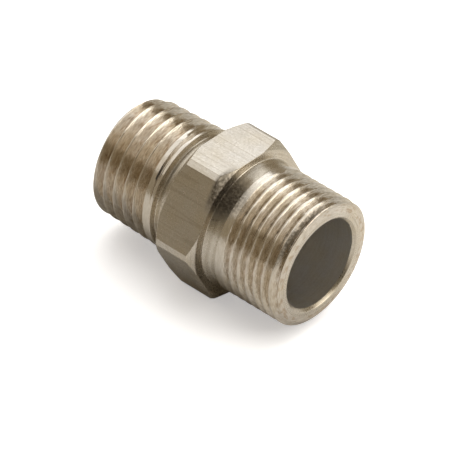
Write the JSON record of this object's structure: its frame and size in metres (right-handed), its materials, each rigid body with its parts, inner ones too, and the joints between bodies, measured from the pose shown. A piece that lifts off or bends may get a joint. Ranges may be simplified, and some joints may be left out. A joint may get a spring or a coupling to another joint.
{
  "type": "hex nipple",
  "caption": "Short hex nipple: a hexagon between a tapered male pipe thread and a finer parallel male thread, bored through, nickel-plated brass.",
  "frame": {"origin": "on the bore's axis, at half the fitting's overall length", "axes": "+X along the bore towards the parallel thread's end, +Z square to an upper wrench flat, +Y towards a corner of the hexagon"},
  "size_m": [0.0258, 0.018, 0.0158],
  "materials": {
    "nickel_plated_brass": "satin nickel plating over turned and drawn brass, slightly warm"
  },
  "bodies": {
    "root": {"nipple_body": "nickel_plated_brass"}
  },
  "joints": []
}
